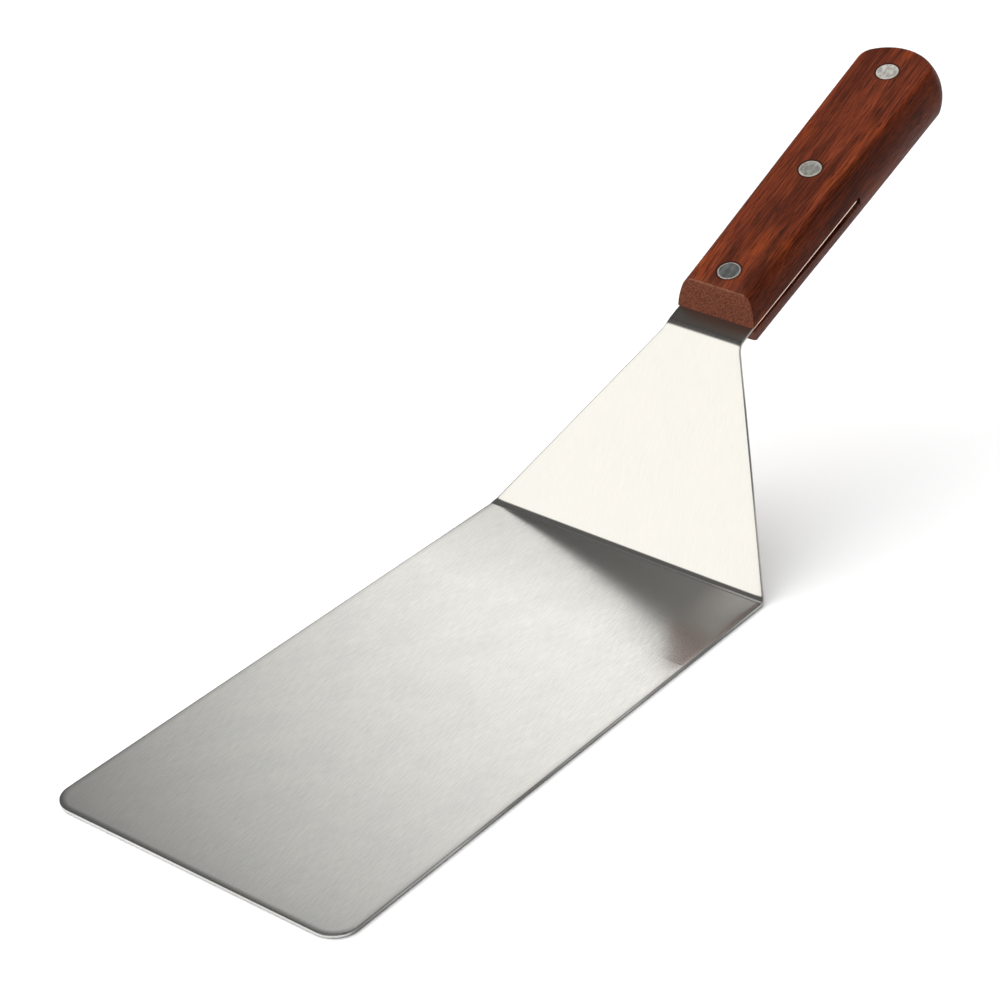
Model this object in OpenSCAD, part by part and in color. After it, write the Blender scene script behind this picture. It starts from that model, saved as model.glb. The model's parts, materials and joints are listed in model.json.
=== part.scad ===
// Grill spatula: a wide blade, neck and tang bent from one sheet of stainless steel,
// held in the saw kerf of a hardwood handle by three two-piece cutlery rivets.
// The origin is the middle of the blade's underside, +X runs towards the handle and +Z is up.

/* [Blade] */
// Length of the flat blade, from its front edge to the corner of the lower bend
blade_l = 203.2; // [120:0.1:280]
// Width of the blade
blade_w = 101.6; // [60:0.1:140]
// Thickness of the sheet
sheet_t = 1.2; // [0.8:0.1:2]
// Corner radius at the front of the blade
corner_r = 8; // [2:0.5:20]

/* [Neck] */
// Length of the neck up its slope, from corner to corner of the two bends
neck_l = 72.4; // [45:0.1:110]
// Slope of the neck above the blade, in degrees
neck_slope = 55.7; // [40:0.1:70]
// Inner radius of the lower bend
lower_bend_r = 3.4; // [1.5:0.1:6]
// Inner radius of the upper bend
upper_bend_r = 4; // [2:0.1:8]

/* [Tang] */
// Slope of the tang and handle above the blade, in degrees
tang_slope = 21.5; // [5:0.1:35]
// How far the tang's edges lie inside the handle's sides
tang_inset = 0.35; // [0.05:0.05:3]
// Distance from the middle rivet's centre to the end of the tang
tang_margin = 5.6; // [4:0.1:12]
// Radius of the tang's rounded end
tang_end_r = 29; // [24:0.5:60]

/* [Handle] */
// Length of the handle
handle_l = 126.4; // [110:0.1:170]
// Width of the handle at its front
handle_front_w = 27.9; // [22:0.1:36]
// Width of the handle at its rear
handle_rear_w = 31.5; // [22:0.1:40]
// Thickness of the wood above the tang
wood_above = 10; // [7:0.1:16]
// Thickness of the wood below the tang's upper face, kerf included
wood_below = 9; // [7:0.1:16]
// Radius of the handle's long edges
shoulder_r = 3.6; // [2:0.1:5]
// Radius of the bulge across the handle's sides
side_r = 22; // [18:0.5:60]
// Angle at which the handle's front is cut back, above and below the tang
front_bevel = 20; // [5:1:35]
// Length over which the handle's rear end rounds off, seen from above
rear_round_l = 11; // [10.5:0.1:16]
// Radius of the rear end's corners, seen from above
rear_corner_r = 8.5; // [5:0.1:10]
// Distance along the tang from the corner of the upper bend to the handle
handle_start = 6.6; // [4:0.1:15]

/* [Kerf] */
// Gap under the tang at the front of the kerf
kerf_front_gap = 0.4; // [0.05:0.05:1]
// Gap under the tang at the end of the kerf
kerf_end_gap = 2.1; // [0.2:0.1:3]
// Gap between the end of the tang and the end of the kerf
kerf_run_out = 1.6; // [0.5:0.1:3]

/* [Rivets] */
// Distance from the handle's front edge to the front rivet
first_rivet = 11.3; // [9:0.1:20]
// Distance from the rear rivet to the handle's rear end
last_rivet = 15.1; // [10:0.1:30]
// Diameter of the rivet heads
head_d = 7.5; // [6:0.1:10]
// Thickness of the rivet heads
head_t = 1.8; // [1:0.1:3]
// Outer diameter of the rivets' tubes
tube_d = 5; // [4:0.1:5.5]
// Diameter of the rivets' posts, which fill the tubes' bores
post_d = 3.4; // [2.5:0.1:3.6]
// Space between the open end of a tube and the head above it
tube_end_gap = 1; // [0.5:0.1:2]
// Metal between a tube's head and the bottom of its bore
tube_floor = 1.5; // [1:0.1:3]
// Space between the tip of a post and the bottom of the bore
post_tip_gap = 2; // [0.5:0.1:4]
// Clearance of the rivets in the wood, on the diameter
wood_clearance = 0.1; // [0.05:0.05:0.3]
// Clearance of the rivets in the tang, on the diameter
tang_clearance = 0.4; // [0.2:0.1:1]

/* [Hidden] */
$fn = 96;
steel_colour = [0.80, 0.80, 0.78];
wood_colour = [0.47, 0.18, 0.09];
rivet_colour = [0.62, 0.64, 0.64];
far = 400;
overlap = 1;

// Bends: radius of the upper face at the upper bend, and how far each bend cuts its corner
upper_face_r = upper_bend_r + sheet_t;
lower_cut = lower_bend_r * tan(neck_slope / 2);
upper_cut = upper_face_r * tan((neck_slope - tang_slope) / 2);

// Corners of the two bends on the sheet's upper face, in the XZ plane
lower_x = blade_l / 2;
upper_x = lower_x + neck_l * cos(neck_slope);
upper_z = sheet_t + neck_l * sin(neck_slope);

// Places along the tang, from the corner of the upper bend
handle_end_s = handle_start + handle_l;
front_rivet_s = handle_start + first_rivet;
rear_rivet_s = handle_end_s - last_rivet;
middle_rivet_s = (front_rivet_s + rear_rivet_s) / 2;
tang_end_s = middle_rivet_s + tang_margin;
end_arc_s = tang_end_s - tang_end_r;
tang_w = handle_front_w - 2 * tang_inset;

// Handle section: it is widest at the middle of the sheet, and these are its heights from there
waist = -sheet_t / 2;
rise_above = wood_above - waist;
rise_below = wood_below + waist;

// Rear end, from the handle's front: two corner arcs run into one end arc without a kink
rear_corner_x = handle_l - rear_round_l;
rear_corner_y = handle_rear_w / 2 - rear_corner_r;
rear_end_r = (pow(rear_round_l, 2) + pow(rear_corner_y, 2) - pow(rear_corner_r, 2))
    / (2 * (rear_round_l - rear_corner_r));
rear_arc_x = handle_l - rear_end_r;
rear_corner_angle = atan2(rear_corner_y, rear_corner_x - rear_arc_x);
handle_flare = (handle_rear_w - handle_front_w) / 2 / rear_corner_x;

// Steps along the arcs of the handle
shoulder_steps = 5;
side_steps = 6;
corner_steps = 6;
end_steps = 6;

// Stands a shape drawn in the XZ plane up, and gives it a width across the object
module across(width) {
    rotate([90, 0, 0]) linear_extrude(width, center = true) children();
}

// Puts children in the frame of the neck: X up its slope, Z = 0 on its upper face
module on_neck() {
    translate([lower_x, 0, sheet_t]) rotate([0, -neck_slope, 0]) children();
}

// Puts children in the frame of the tang: X along it, Z = 0 on its upper face
module on_tang() {
    translate([upper_x, 0, upper_z]) rotate([0, -tang_slope, 0]) children();
}

// Points along an arc, without its last one
function arc_start(centre, radius, from, to, steps) =
    [for (i = [0 : steps - 1]) centre + radius * [cos(from + i * (to - from) / steps),
                                                  sin(from + i * (to - from) / steps)]];

// Points along an arc, both ends included
function arc(centre, radius, from, to, steps = 12) =
    concat(arc_start(centre, radius, from, to, steps), [centre + radius * [cos(to), sin(to)]]);

// Edge view of the whole sheet in the XZ plane: its upper face, then its lower face back again
module sheet_profile() {
    lower_centre = [lower_x - lower_cut, sheet_t + lower_bend_r];
    upper_start = [upper_x, upper_z] - upper_cut * [cos(neck_slope), sin(neck_slope)];
    upper_centre = upper_start + upper_face_r * [sin(neck_slope), -cos(neck_slope)];
    tang_tip = [upper_x, upper_z] + tang_end_s * [cos(tang_slope), sin(tang_slope)];
    through = sheet_t * [sin(tang_slope), -cos(tang_slope)];
    polygon(concat(
        [[-lower_x, 0], [-lower_x, sheet_t]],
        arc(lower_centre, lower_bend_r, -90, neck_slope - 90),
        arc(upper_centre, upper_face_r, 90 + neck_slope, 90 + tang_slope),
        [tang_tip, tang_tip + through],
        arc(upper_centre, upper_bend_r, 90 + tang_slope, 90 + neck_slope),
        arc(lower_centre, lower_bend_r + sheet_t, neck_slope - 90, -90)
    ));
}

// Plan of the blade and all behind it, with the two rounded front corners
module blade_plan() {
    corner_x = corner_r - lower_x;
    corner_y = blade_w / 2 - corner_r;
    polygon(concat(
        arc([corner_x, corner_y], corner_r, 90, 180),
        arc([corner_x, -corner_y], corner_r, 180, 270),
        [[far, -blade_w / 2], [far, blade_w / 2]]
    ));
}

// What is cut off the left of the neck and the tang, drawn on the neck's upper face:
// inside the handle the tang gets wider with it
module side_offcut() {
    taper_end = neck_l - upper_cut;
    lean = cos(neck_slope - tang_slope);
    flare_start = neck_l + handle_start * lean;
    polygon([
        [0, blade_w / 2],
        [taper_end, tang_w / 2],
        [flare_start, tang_w / 2],
        [far, tang_w / 2 + (far - flare_start) * handle_flare / lean],
        [far, blade_w],
        [0, blade_w]
    ]);
}

// Plan of a strip along the tang, as wide as given, that ends in an arc about the tang's end arc
module tang_plan(half_w, end_r) {
    spread = asin(half_w / end_r);
    polygon(concat(
        [[-far, half_w], [-far, -half_w]],
        arc([end_arc_s, 0], end_r, -spread, spread)
    ));
}

// Places children on the tang's upper face, at a distance from the corner of the upper bend
module at_rivet(s) {
    on_tang() translate([s, 0, 0]) children();
}

module blade() {
    color(steel_colour) difference() {
        intersection() {
            across(2 * blade_w) sheet_profile();
            translate([0, 0, -overlap]) linear_extrude(far) blade_plan();
        }
        for (side = [0, 1])
            mirror([0, side, 0]) on_neck()
                translate([0, 0, -far / 2]) linear_extrude(far / 2 + 4 * sheet_t) side_offcut();
        on_tang() translate([0, 0, -far / 2]) linear_extrude(far) difference() {
            translate([end_arc_s, -blade_w]) square([far, 2 * blade_w]);
            tang_plan(handle_rear_w / 2, tang_end_r);
        }
        for (s = [front_rivet_s, middle_rivet_s])
            at_rivet(s) cylinder(h = 4 * sheet_t, d = tube_d + tang_clearance, center = true);
    }
}

// Half of the handle's section at its front, from the bottom up: distance to the side, and height
function side_curve() =
    let (
        bulge_x = handle_front_w / 2 - side_r,
        reach = side_r - shoulder_r,
        top_level = rise_above - shoulder_r,
        bottom_level = rise_below - shoulder_r,
        top_angle = asin(top_level / reach),
        bottom_angle = -asin(bottom_level / reach),
        bottom_centre = [bulge_x + reach * cos(bottom_angle), -bottom_level],
        top_centre = [bulge_x + reach * cos(top_angle), top_level]
    )
    concat(
        arc_start(bottom_centre, shoulder_r, -90, bottom_angle, shoulder_steps),
        arc_start([bulge_x, 0], side_r, bottom_angle, top_angle, side_steps),
        arc(top_centre, shoulder_r, top_angle, 90, shoulder_steps)
    );

// Outline of the handle at one level, seen from above: the whole outline drawn in by inset,
// and its front set back by the bevel
function level_outline(inset, level) =
    let (
        front_x = abs(level) * tan(front_bevel),
        front_y = handle_front_w / 2 + front_x * handle_flare - inset,
        right_corner = [rear_corner_x, -rear_corner_y],
        left_corner = [rear_corner_x, rear_corner_y]
    )
    [for (p = concat(
        [[front_x, front_y], [front_x, -front_y]],
        arc_start(right_corner, rear_corner_r - inset, -90, -rear_corner_angle, corner_steps),
        arc_start([rear_arc_x, 0], rear_end_r - inset, -rear_corner_angle, rear_corner_angle, end_steps),
        arc(left_corner, rear_corner_r - inset, rear_corner_angle, 90, corner_steps)
    )) [p[0], p[1], level]];

// The handle before its kerf and holes: its level outlines, joined from the bottom up
module handle_blank() {
    outlines = [for (p = side_curve()) level_outline(handle_front_w / 2 - p[0], p[1])];
    per_level = len(outlines[0]);
    top = len(outlines) - 1;
    walls = [for (i = [0 : top - 1], j = [0 : per_level - 1])
        let (
            a = i * per_level + j,
            b = i * per_level + (j + 1) % per_level
        )
        each [[a, a + per_level, b], [b, a + per_level, b + per_level]]];
    bottom_cap = [for (j = [0 : per_level - 1]) j];
    top_cap = [for (j = [per_level - 1 : -1 : 0]) top * per_level + j];
    polyhedron([for (outline = outlines, p = outline) p], concat(walls, [bottom_cap, top_cap]));
}

// Saw kerf for the tang: its upper wall lies on the tang, its lower wall falls away
module kerf() {
    kerf_end_s = tang_end_s + kerf_run_out;
    intersection() {
        across(2 * handle_rear_w) polygon([
            [handle_start - overlap, 0],
            [handle_start - overlap, -sheet_t - kerf_front_gap],
            [handle_start, -sheet_t - kerf_front_gap],
            [kerf_end_s, -sheet_t - kerf_end_gap],
            [kerf_end_s, 0]
        ]);
        translate([0, 0, -far / 2]) linear_extrude(far)
            tang_plan(handle_rear_w / 2 + overlap, tang_end_r + kerf_run_out);
    }
}

// Stepped hole through the handle that a rivet fills
module rivet_hole() {
    cylinder(h = far, d = tube_d + wood_clearance, center = true);
    translate([0, 0, wood_above - head_t]) cylinder(h = far, d = head_d + wood_clearance);
    translate([0, 0, head_t - wood_below - far]) cylinder(h = far, d = head_d + wood_clearance);
}

module handle() {
    color(wood_colour) difference() {
        on_tang() difference() {
            translate([handle_start, 0, waist]) handle_blank();
            kerf();
        }
        for (s = [front_rivet_s, middle_rivet_s, rear_rivet_s])
            at_rivet(s) rivet_hole();
    }
}

// Solid half of a rivet: its head is flush with the top of the handle
module rivet_post() {
    post_l = wood_above + wood_below - 2 * head_t - tube_floor - post_tip_gap;
    color(rivet_colour) {
        translate([0, 0, wood_above - head_t]) cylinder(h = head_t, d = head_d);
        translate([0, 0, wood_above - head_t - post_l]) cylinder(h = post_l + head_t, d = post_d);
    }
}

// Tubular half of a rivet: its head is flush with the bottom of the handle
module rivet_tube() {
    tube_l = wood_above + wood_below - head_t - tube_end_gap;
    color(rivet_colour) translate([0, 0, -wood_below]) difference() {
        union() {
            cylinder(h = head_t, d = head_d);
            cylinder(h = tube_l, d = tube_d);
        }
        translate([0, 0, head_t + tube_floor]) cylinder(h = far, d = post_d);
    }
}

module front_rivet_post() { at_rivet(front_rivet_s) rivet_post(); }
module front_rivet_tube() { at_rivet(front_rivet_s) rivet_tube(); }
module middle_rivet_post() { at_rivet(middle_rivet_s) rivet_post(); }
module middle_rivet_tube() { at_rivet(middle_rivet_s) rivet_tube(); }
module rear_rivet_post() { at_rivet(rear_rivet_s) rivet_post(); }
module rear_rivet_tube() { at_rivet(rear_rivet_s) rivet_tube(); }

blade();
handle();
front_rivet_post();
front_rivet_tube();
middle_rivet_post();
middle_rivet_tube();
rear_rivet_post();
rear_rivet_tube();
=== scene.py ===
"""Grill spatula: the looks of its steel sheet, its hardwood handle and its cutlery rivets.

Lengths are in metres and angles in radians. The origin is the middle of the blade's underside,
+X runs towards the handle and +Z is up. Places on the tang and the handle are given in the tang's
own frame: X along it from the corner of the upper bend, Z = 0 on its upper face.
"""

import json
import math

import bmesh
import bpy
from mathutils import Matrix, Vector


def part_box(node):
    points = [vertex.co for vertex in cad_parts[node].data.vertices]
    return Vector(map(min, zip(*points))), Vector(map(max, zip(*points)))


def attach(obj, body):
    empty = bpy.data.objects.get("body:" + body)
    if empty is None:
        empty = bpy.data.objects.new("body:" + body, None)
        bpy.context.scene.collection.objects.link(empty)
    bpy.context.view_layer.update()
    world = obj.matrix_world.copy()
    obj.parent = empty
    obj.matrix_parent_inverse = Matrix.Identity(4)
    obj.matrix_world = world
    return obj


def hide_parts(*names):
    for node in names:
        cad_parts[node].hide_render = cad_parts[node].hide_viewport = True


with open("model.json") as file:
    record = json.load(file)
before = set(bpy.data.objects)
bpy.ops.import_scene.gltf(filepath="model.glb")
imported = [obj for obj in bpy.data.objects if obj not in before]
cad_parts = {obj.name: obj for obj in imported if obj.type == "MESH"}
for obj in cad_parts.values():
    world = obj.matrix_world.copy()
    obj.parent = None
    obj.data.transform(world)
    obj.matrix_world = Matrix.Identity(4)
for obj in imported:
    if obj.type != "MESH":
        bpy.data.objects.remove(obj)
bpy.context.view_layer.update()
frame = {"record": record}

MM = 0.001
BODY = "root"

# ---------------------------------------------------------------- sizes of the sheet
blade_low, blade_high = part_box("blade")
mounts = {mount["name"]: mount for mount in frame["record"]["mounts"]}
SHEET_T = mounts["blade_top"]["pos_m"][2]
BLADE_W = blade_high.y - blade_low.y
LOWER_X = -blade_low.x
CORNER_R = 8 * MM
NECK_L = 72.4 * MM
NECK_SLOPE = math.radians(55.7)
TANG_SLOPE = math.radians(21.5)
LOWER_BEND_R = 3.4 * MM + SHEET_T / 2
UPPER_BEND_R = 4 * MM + SHEET_T / 2
TANG_W = 27.2 * MM
TANG_END_R = 29 * MM
TANG_MARGIN = 5.6 * MM
HEEL_R = 4 * MM
THROAT_R = 9 * MM
EDGE_R = 0.32 * MM
SHOULDER = 1.9 * MM
SHOULDER_DROP = 0.06 * MM
# The darker tone of the cut edges, partly their own duller finish and partly a painted dark reflection: how
# far past the neck it fades out, and how strong it is at the front edge.
CUT_EDGE_AND_SHADE_FADE = 4 * MM
FRONT_CUT_EDGE_AND_SHADE = 0.3

# ---------------------------------------------------------------- sizes of the handle
HANDLE_START = 6.6 * MM
HANDLE_L = 126.4 * MM
FRONT_W = 27.9 * MM
REAR_W = 31.5 * MM
WOOD_ABOVE = 10 * MM
WOOD_BELOW = 9 * MM
SIDE_R = 22 * MM
FRONT_SHOULDER_R = 3.9 * MM
REAR_SHOULDER_R = 1.9 * MM
FRONT_BEVEL = math.radians(20)
REAR_ROUND_L = 11 * MM
REAR_CORNER_R = 8.5 * MM
KERF_FRONT_GAP = 0.4 * MM
KERF_END_GAP = 2.1 * MM
KERF_RUN_OUT = 1.6 * MM
WOOD_EDGE_R = 0.28 * MM

# ---------------------------------------------------------------- sizes of the rivets
RIVET_S = 17.9 * MM
RIVET_PITCH = 50 * MM
RIVET_COUNT = 3
TANG_RIVETS = 2
HEAD_D = 7.5 * MM
HEAD_T = 1.8 * MM
TUBE_D = 5 * MM
POST_D = 3.4 * MM
POST_L = 11.9 * MM
TUBE_L = 16.2 * MM
TUBE_FLOOR = 1.5 * MM
RIM_R = 0.22 * MM
HOLE_CLEARANCE = 0.1 * MM
TANG_CLEARANCE = 0.4 * MM

# ---------------------------------------------------------------- worked out from those
UPPER_X = LOWER_X + NECK_L * math.cos(NECK_SLOPE)
UPPER_Z = SHEET_T + NECK_L * math.sin(NECK_SLOPE)
UPPER_TURN = NECK_SLOPE - TANG_SLOPE
LOWER_CUT = (LOWER_BEND_R - SHEET_T / 2) * math.tan(NECK_SLOPE / 2)
UPPER_CUT = (UPPER_BEND_R + SHEET_T / 2) * math.tan(UPPER_TURN / 2)
TANG_END = RIVET_S + RIVET_PITCH + TANG_MARGIN
RISE_ABOVE = WOOD_ABOVE + SHEET_T / 2
RISE_BELOW = WOOD_BELOW - SHEET_T / 2
REAR_CORNER_X = HANDLE_L - REAR_ROUND_L
REAR_CORNER_Y = REAR_W / 2 - REAR_CORNER_R
REAR_END_R = REAR_ROUND_L**2 + REAR_CORNER_Y**2 - REAR_CORNER_R**2
REAR_END_R /= 2 * (REAR_ROUND_L - REAR_CORNER_R)
REAR_ARC_X = HANDLE_L - REAR_END_R
FLARE = (REAR_W - FRONT_W) / 2 / REAR_CORNER_X
TANG_FRAME = Matrix.Translation((UPPER_X, 0, UPPER_Z)) @ Matrix.Rotation(-TANG_SLOPE, 4, "Y")

# The blank's middle line from the front edge to the tang's tip: length, bend radius and turn
SHEET_RUN = [
    (2 * LOWER_X - LOWER_CUT, 0, 0),
    (LOWER_BEND_R * NECK_SLOPE, LOWER_BEND_R, NECK_SLOPE),
    (NECK_L - LOWER_CUT - UPPER_CUT, 0, 0),
    (UPPER_BEND_R * UPPER_TURN, UPPER_BEND_R, -UPPER_TURN),
    (TANG_END - UPPER_CUT, 0, 0),
]
BEND_STEPS = 18
BEND_HOLD = 0.2 * MM
TIP_STEPS = 11
EDGE_STEPS = 5
CRISP_ANGLE = math.radians(40)

# The slight bow of the sheet before its lower bend and the droop of its long edges there. Only the
# steel's bump shows them; the mesh is flat there.
RUN_IN = 42 * MM
RUN_IN_RISE = 1.35 * MM
CROWN_REACH = 19 * MM
CROWN_DROP = 0.75 * MM


# ---------------------------------------------------------------- mesh tools
def smoothstep(low, high, value):
    """0 below low, 1 above high and an even slide between them."""
    t = min(1, max(0, (value - low) / (high - low)))
    return t * t * (3 - 2 * t)


def arc(centre, radius, start, end, steps):
    """Points along an arc, both ends included."""
    angles = [start + (end - start) * i / steps for i in range(steps + 1)]
    return [(centre[0] + radius * math.cos(a), centre[1] + radius * math.sin(a)) for a in angles]


def wall_faces(rows, count):
    """Faces that join rows of points into a closed wall, each row going all the way round."""
    return [
        (k * count + j, k * count + (j + 1) % count, (k + 1) * count + (j + 1) % count, (k + 1) * count + j)
        for k in range(rows - 1)
        for j in range(count)
    ]


def new_piece(name, verts, faces):
    """A mesh object with its faces turned outwards."""
    mesh = bpy.data.meshes.new(name)
    mesh.from_pydata(verts, [], faces)
    piece = bpy.data.objects.new(name, mesh)
    bpy.context.scene.collection.objects.link(piece)
    face_out(piece)
    return piece


def face_out(piece):
    """Turns the faces of a closed piece outwards."""
    work = bmesh.new()
    work.from_mesh(piece.data)
    bmesh.ops.recalc_face_normals(work, faces=work.faces)
    work.to_mesh(piece.data)
    work.free()


def settle(piece):
    """Makes what the modifiers show the piece's own mesh."""
    graph = bpy.context.evaluated_depsgraph_get()
    mesh = bpy.data.meshes.new_from_object(piece.evaluated_get(graph), depsgraph=graph)
    piece.modifiers.clear()
    piece.data = mesh


def cut(piece, cutters):
    """Cuts the cutters out of the piece and throws them away."""
    for cutter in cutters:
        step = piece.modifiers.new("cut", "BOOLEAN")
        step.operation = "DIFFERENCE"
        step.solver = "EXACT"
        step.object = cutter
    settle(piece)
    for cutter in cutters:
        bpy.data.objects.remove(cutter)


def lathe(name, profile, place, steps=64):
    """A solid turned about Z from (radius, height) points, without its two ends on the axis."""
    verts = [
        place @ Vector((r * math.cos(a), r * math.sin(a), z))
        for r, z in profile
        for a in (2 * math.pi * i / steps for i in range(steps))
    ]
    faces = wall_faces(len(profile), steps)
    last = (len(profile) - 1) * steps
    ends = [tuple(range(steps)), tuple(range(last, last + steps))]
    return new_piece(name, verts, faces + ends)


def at_tang(s):
    """Frame of a rivet: its axis square to the tang, at a distance along it."""
    return TANG_FRAME @ Matrix.Translation((s, 0, 0))


# ---------------------------------------------------------------- blade, neck and tang
def mid_line(s):
    """Place and slope of the sheet's middle at a length along the blank."""
    x, z, slope = -LOWER_X, SHEET_T / 2, 0.0
    for length, radius, turn in SHEET_RUN:
        part = min(s, length)
        if turn:
            angle = turn * part / length
            side = math.copysign(radius, turn)
            x += side * (math.sin(slope + angle) - math.sin(slope))
            z += side * (math.cos(slope) - math.cos(slope + angle))
            slope += angle
        else:
            x += part * math.cos(slope)
            z += part * math.sin(slope)
        s -= part
        if s <= 0:
            break
    return x, z, slope


def run_start(index):
    """Length along the blank at which a stretch of the sheet starts."""
    return sum(length for length, _, _ in SHEET_RUN[:index])


def rounded(corners):
    """An outline through corners given as (s, y, radius), with each corner's arc drawn in."""
    points = []
    for i, (s, y, radius) in enumerate(corners):
        here = Vector((s, y))
        if not radius:
            points.append(here)
            continue
        back = (Vector(corners[i - 1][:2]) - here).normalized()
        ahead = (Vector(corners[i + 1][:2]) - here).normalized()
        half = back.angle(ahead) / 2
        reach = radius / math.tan(half)
        centre = here + (back + ahead).normalized() * (radius / math.sin(half))
        first = here + back * reach - centre
        turn = first.angle_signed(here + ahead * reach - centre)
        steps = max(4, math.ceil(abs(turn) / math.radians(6)))
        points += [centre + Matrix.Rotation(-turn * k / steps, 2) @ first for k in range(steps + 1)]
    return points


def blank_edge():
    """Left edge of the flat blank from front edge to tang's tip, with a point at each bend step."""
    tip = run_start(5)
    taper_start = run_start(1) + SHEET_RUN[1][0] / 2
    taper_end = run_start(3)
    flare_start = run_start(4) + HANDLE_START - UPPER_CUT
    end_centre = tip - TANG_END_R
    half_w = TANG_W / 2
    # The flared side meets the round tip a little wider than it starts; four rounds settle it
    for _ in range(4):
        end_s = end_centre + math.sqrt(TANG_END_R**2 - half_w**2)
        half_w = TANG_W / 2 + FLARE * (end_s - flare_start)
    spread = math.asin(half_w / TANG_END_R)
    points = rounded([
        (0, 0, 0),
        (0, BLADE_W / 2, CORNER_R),
        (taper_start, BLADE_W / 2, HEEL_R),
        (taper_end, TANG_W / 2, THROAT_R),
        (flare_start, TANG_W / 2, 0),
        (end_s, half_w, 0),
    ])[1:-1]
    round_tip = arc((end_centre, 0), TANG_END_R, spread, spread / (TIP_STEPS + 1), TIP_STEPS)
    points += [Vector(point) for point in round_tip]
    for bend in (1, 3):
        start, length = run_start(bend), SHEET_RUN[bend][0]
        add_station(points, start - BEND_HOLD)
        for i in range(BEND_STEPS + 1):
            add_station(points, start + length * i / BEND_STEPS)
        add_station(points, start + length + BEND_HOLD)
    return points


def add_station(points, s):
    """Adds a point to the edge at a length along the blank, unless one is there."""
    for i in range(len(points) - 1):
        a, b = points[i], points[i + 1]
        if a.x + BEND_HOLD / 4 < s < b.x - BEND_HOLD / 4:
            points.insert(i + 1, a.lerp(b, (s - a.x) / (b.x - a.x)))
            return


def drawn_in(loop, distance):
    """The blank's outline moved inwards, the rows of its long sides kept at their lengths."""
    moved = []
    side_start, side_end = CORNER_R, run_start(5) - TANG_END_R
    for i, point in enumerate(loop):
        back = (point - loop[i - 1]).normalized()
        ahead = (loop[(i + 1) % len(loop)] - point).normalized()
        out = Vector((-back.y, back.x)) + Vector((-ahead.y, ahead.x))
        move = out * (distance / (1 + back.dot(ahead)))
        if distance and side_start < point.x < side_end:
            move = Vector((0, move.length_squared / move.y))
        moved.append(point - move)
    return moved


def edge_profile():
    """Half section of the tumbled edge as (distance in, level), from the underside to the top."""
    half = SHEET_T / 2
    quarter = arc((EDGE_R, half - EDGE_R), EDGE_R, math.pi, math.pi / 2, EDGE_STEPS)
    shoulder = []
    for i in range(EDGE_STEPS + 1):
        t = i / EDGE_STEPS
        shoulder.append((EDGE_R + SHOULDER * t, half - SHOULDER_DROP * (1 - t) ** 2))
    top = [(inset, level - SHOULDER_DROP) for inset, level in quarter[:-1]] + shoulder
    return [(inset, -level) for inset, level in reversed(top)] + top


def make_blade():
    """One sheet from front edge to tang, bent at the neck's two ends, its edges tumbled."""
    left = blank_edge()
    loop = left + [Vector((p.x, -p.y)) for p in reversed(left)]
    profile = edge_profile()
    count = len(loop)
    rows = len(left)
    flat, verts = [], []
    for inset, level in profile:
        for point in drawn_in(loop, inset):
            x, z, slope = mid_line(point.x)
            flat.append(point)
            verts.append((x - level * math.sin(slope), point.y, z + level * math.cos(slope)))
    faces = wall_faces(len(profile), count)
    for base in (0, (len(profile) - 1) * count):
        for i in range(rows - 1):
            faces.append((base + i, base + i + 1, base + count - 2 - i, base + count - 1 - i))
    blade = new_piece("blade_sheet", verts, faces)
    neck_end = run_start(3)
    # The mask darkens the cut edges: partly their own duller finish, partly a painted dark reflection of the
    # shade beside them. It is weaker at the front edge and fades out past the neck.
    cut_edge_and_shade = blade.data.attributes.new("cut_edge_and_shade", "FLOAT", "POINT")
    for index, point in enumerate(flat):
        inset = profile[index // count][0]
        dull = FRONT_CUT_EDGE_AND_SHADE + (1 - FRONT_CUT_EDGE_AND_SHADE) * smoothstep(0.4 * CORNER_R, CORNER_R, point.x)
        dull *= 1 - smoothstep(neck_end, neck_end + CUT_EDGE_AND_SHADE_FADE, point.x)
        cut_edge_and_shade.data[index].value = dull if inset < 0.9 * EDGE_R else 0
    layout = blade.data.uv_layers.new(name="sheet")
    for corner in blade.data.loops:
        layout.data[corner.index].uv = flat[corner.vertex_index]
    hole_r = (TUBE_D + TANG_CLEARANCE) / 2
    cutters = [
        lathe("drill", [(hole_r, -5 * SHEET_T), (hole_r, 5 * SHEET_T)], at_tang(RIVET_S + i * RIVET_PITCH))
        for i in range(TANG_RIVETS)
    ]
    cut(blade, cutters)
    blade.data.shade_smooth()
    blade.data.set_sharp_from_angle(angle=CRISP_ANGLE)
    return blade


# ---------------------------------------------------------------- handle
def side_curve(shoulder):
    """Side of the handle's section as (distance in, level), from the bottom up."""
    reach = SIDE_R - shoulder
    points = []
    for rise, turn in ((RISE_BELOW, -1), (RISE_ABOVE, 1)):
        lean = math.asin((rise - shoulder) / reach)
        centre = (SIDE_R - reach * math.cos(lean), turn * reach * math.sin(lean))
        corner = arc(centre, shoulder, math.pi - turn * lean, math.pi / 2 if turn > 0 else 1.5 * math.pi, 8)
        bulge = arc((SIDE_R, 0), SIDE_R, math.pi, math.pi - turn * lean, 7)
        half = bulge[:-1] + corner
        points = list(reversed(half)) if turn < 0 else points[:-1] + half
    return points


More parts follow.
